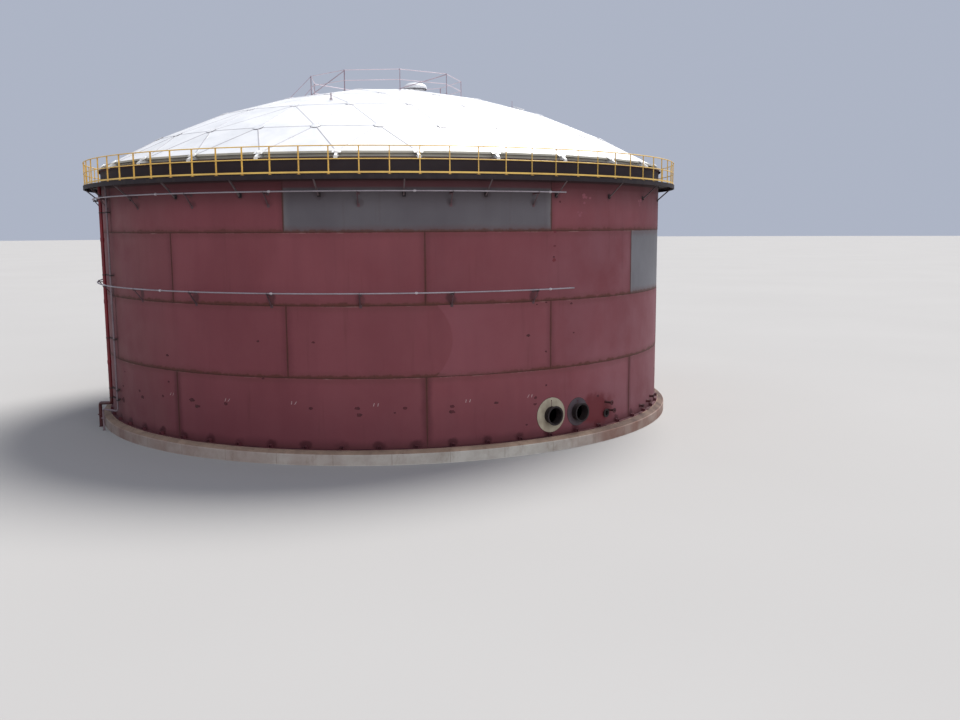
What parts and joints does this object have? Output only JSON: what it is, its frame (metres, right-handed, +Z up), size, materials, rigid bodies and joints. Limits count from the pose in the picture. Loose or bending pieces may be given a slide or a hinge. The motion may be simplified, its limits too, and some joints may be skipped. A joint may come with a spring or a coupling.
{
  "type": "biogas digester tank",
  "caption": "Large welded steel digester tank with a low aluminium dome, a walkway with handrail round the top, cooling pipes, risers, manways and nozzles, on a concrete plinth.",
  "frame": {"origin": "on the tank's vertical axis, at the foot of the plinth, level with the ground", "axes": "+Z up; -Y is the side the picture shows, with the manways to the right of it; +X to the right"},
  "size_m": [31.6864, 31.6864, 17.9805],
  "materials": {
    "concrete": "cast concrete, weathered",
    "fill": "compacted sandy fill",
    "grout": "oiled sand and grout shoulder",
    "red_primer": "matt red-oxide primer, dusty",
    "gray_primer": "matt dark gray primer",
    "dark_steel": "dark brown-black shop coat",
    "safety_yellow": "yellow enamel",
    "dome_aluminium": "bright mill-finish sheet",
    "mill_aluminium": "dull extruded aluminium",
    "galvanised": "dull galvanised pipe",
    "red_pipe": "red enamel",
    "cream_primer": "pale cream primer"
  },
  "bodies": {
    "root": {"ring_wall": "concrete", "foundation_fill": "fill", "grout_shoulder": "grout", "bottom_plate": "red_primer", "anchor_chairs": "red_primer", "curb_angle": "red_primer", "walkway_deck": "dark_steel", "walkway_brackets": "dark_steel", "handrail_front": "safety_yellow", "handrail_right": "safety_yellow", "handrail_left": "safety_yellow", "dome_edge_ring": "mill_aluminium", "edge_flashing": "mill_aluminium", "roof_vent": "dome_aluminium", "roof_guard_rail": "galvanised", "lower_spray_pipe": "galvanised", "upper_spray_pipe": "galvanised", "red_riser": "red_pipe", "gray_riser": "galvanised", "manway_1_neck": "dark_steel", "manway_2_neck": "dark_steel", "manway_1_pad": "cream_primer", "manway_2_pad": "gray_primer", "dome_sector_1": "dome_aluminium", "dome_sector_2": "dome_aluminium", "dome_sector_3": "dome_aluminium", "dome_sector_4": "dome_aluminium", "dome_sector_5": "dome_aluminium", "dome_sector_6": "dome_aluminium", "dome_sector_7": "dome_aluminium", "nozzle_1_neck": "red_primer", "nozzle_2_neck": "red_primer", "nozzle_3_neck": "red_primer", "nozzle_4_neck": "red_primer", "nozzle_5_neck": "red_primer", "nozzle_6_neck": "red_primer", "course_1_front": "red_primer", "course_1_manway_plate": "red_primer", "course_1_right": "red_primer", "course_1_back": "red_primer", "course_1_left": "red_primer", "course_2_front": "red_primer", "course_2_right": "red_primer", "course_2_back": "red_primer", "course_2_left": "red_primer", "course_3_front": "red_primer", "course_3_gray_plate": "gray_primer", "course_3_back": "red_primer", "course_3_left": "red_primer", "course_4_gray_plate": "gray_primer", "course_4_right": "red_primer", "course_4_back": "red_primer", "course_4_left": "red_primer"}
  },
  "joints": []
}
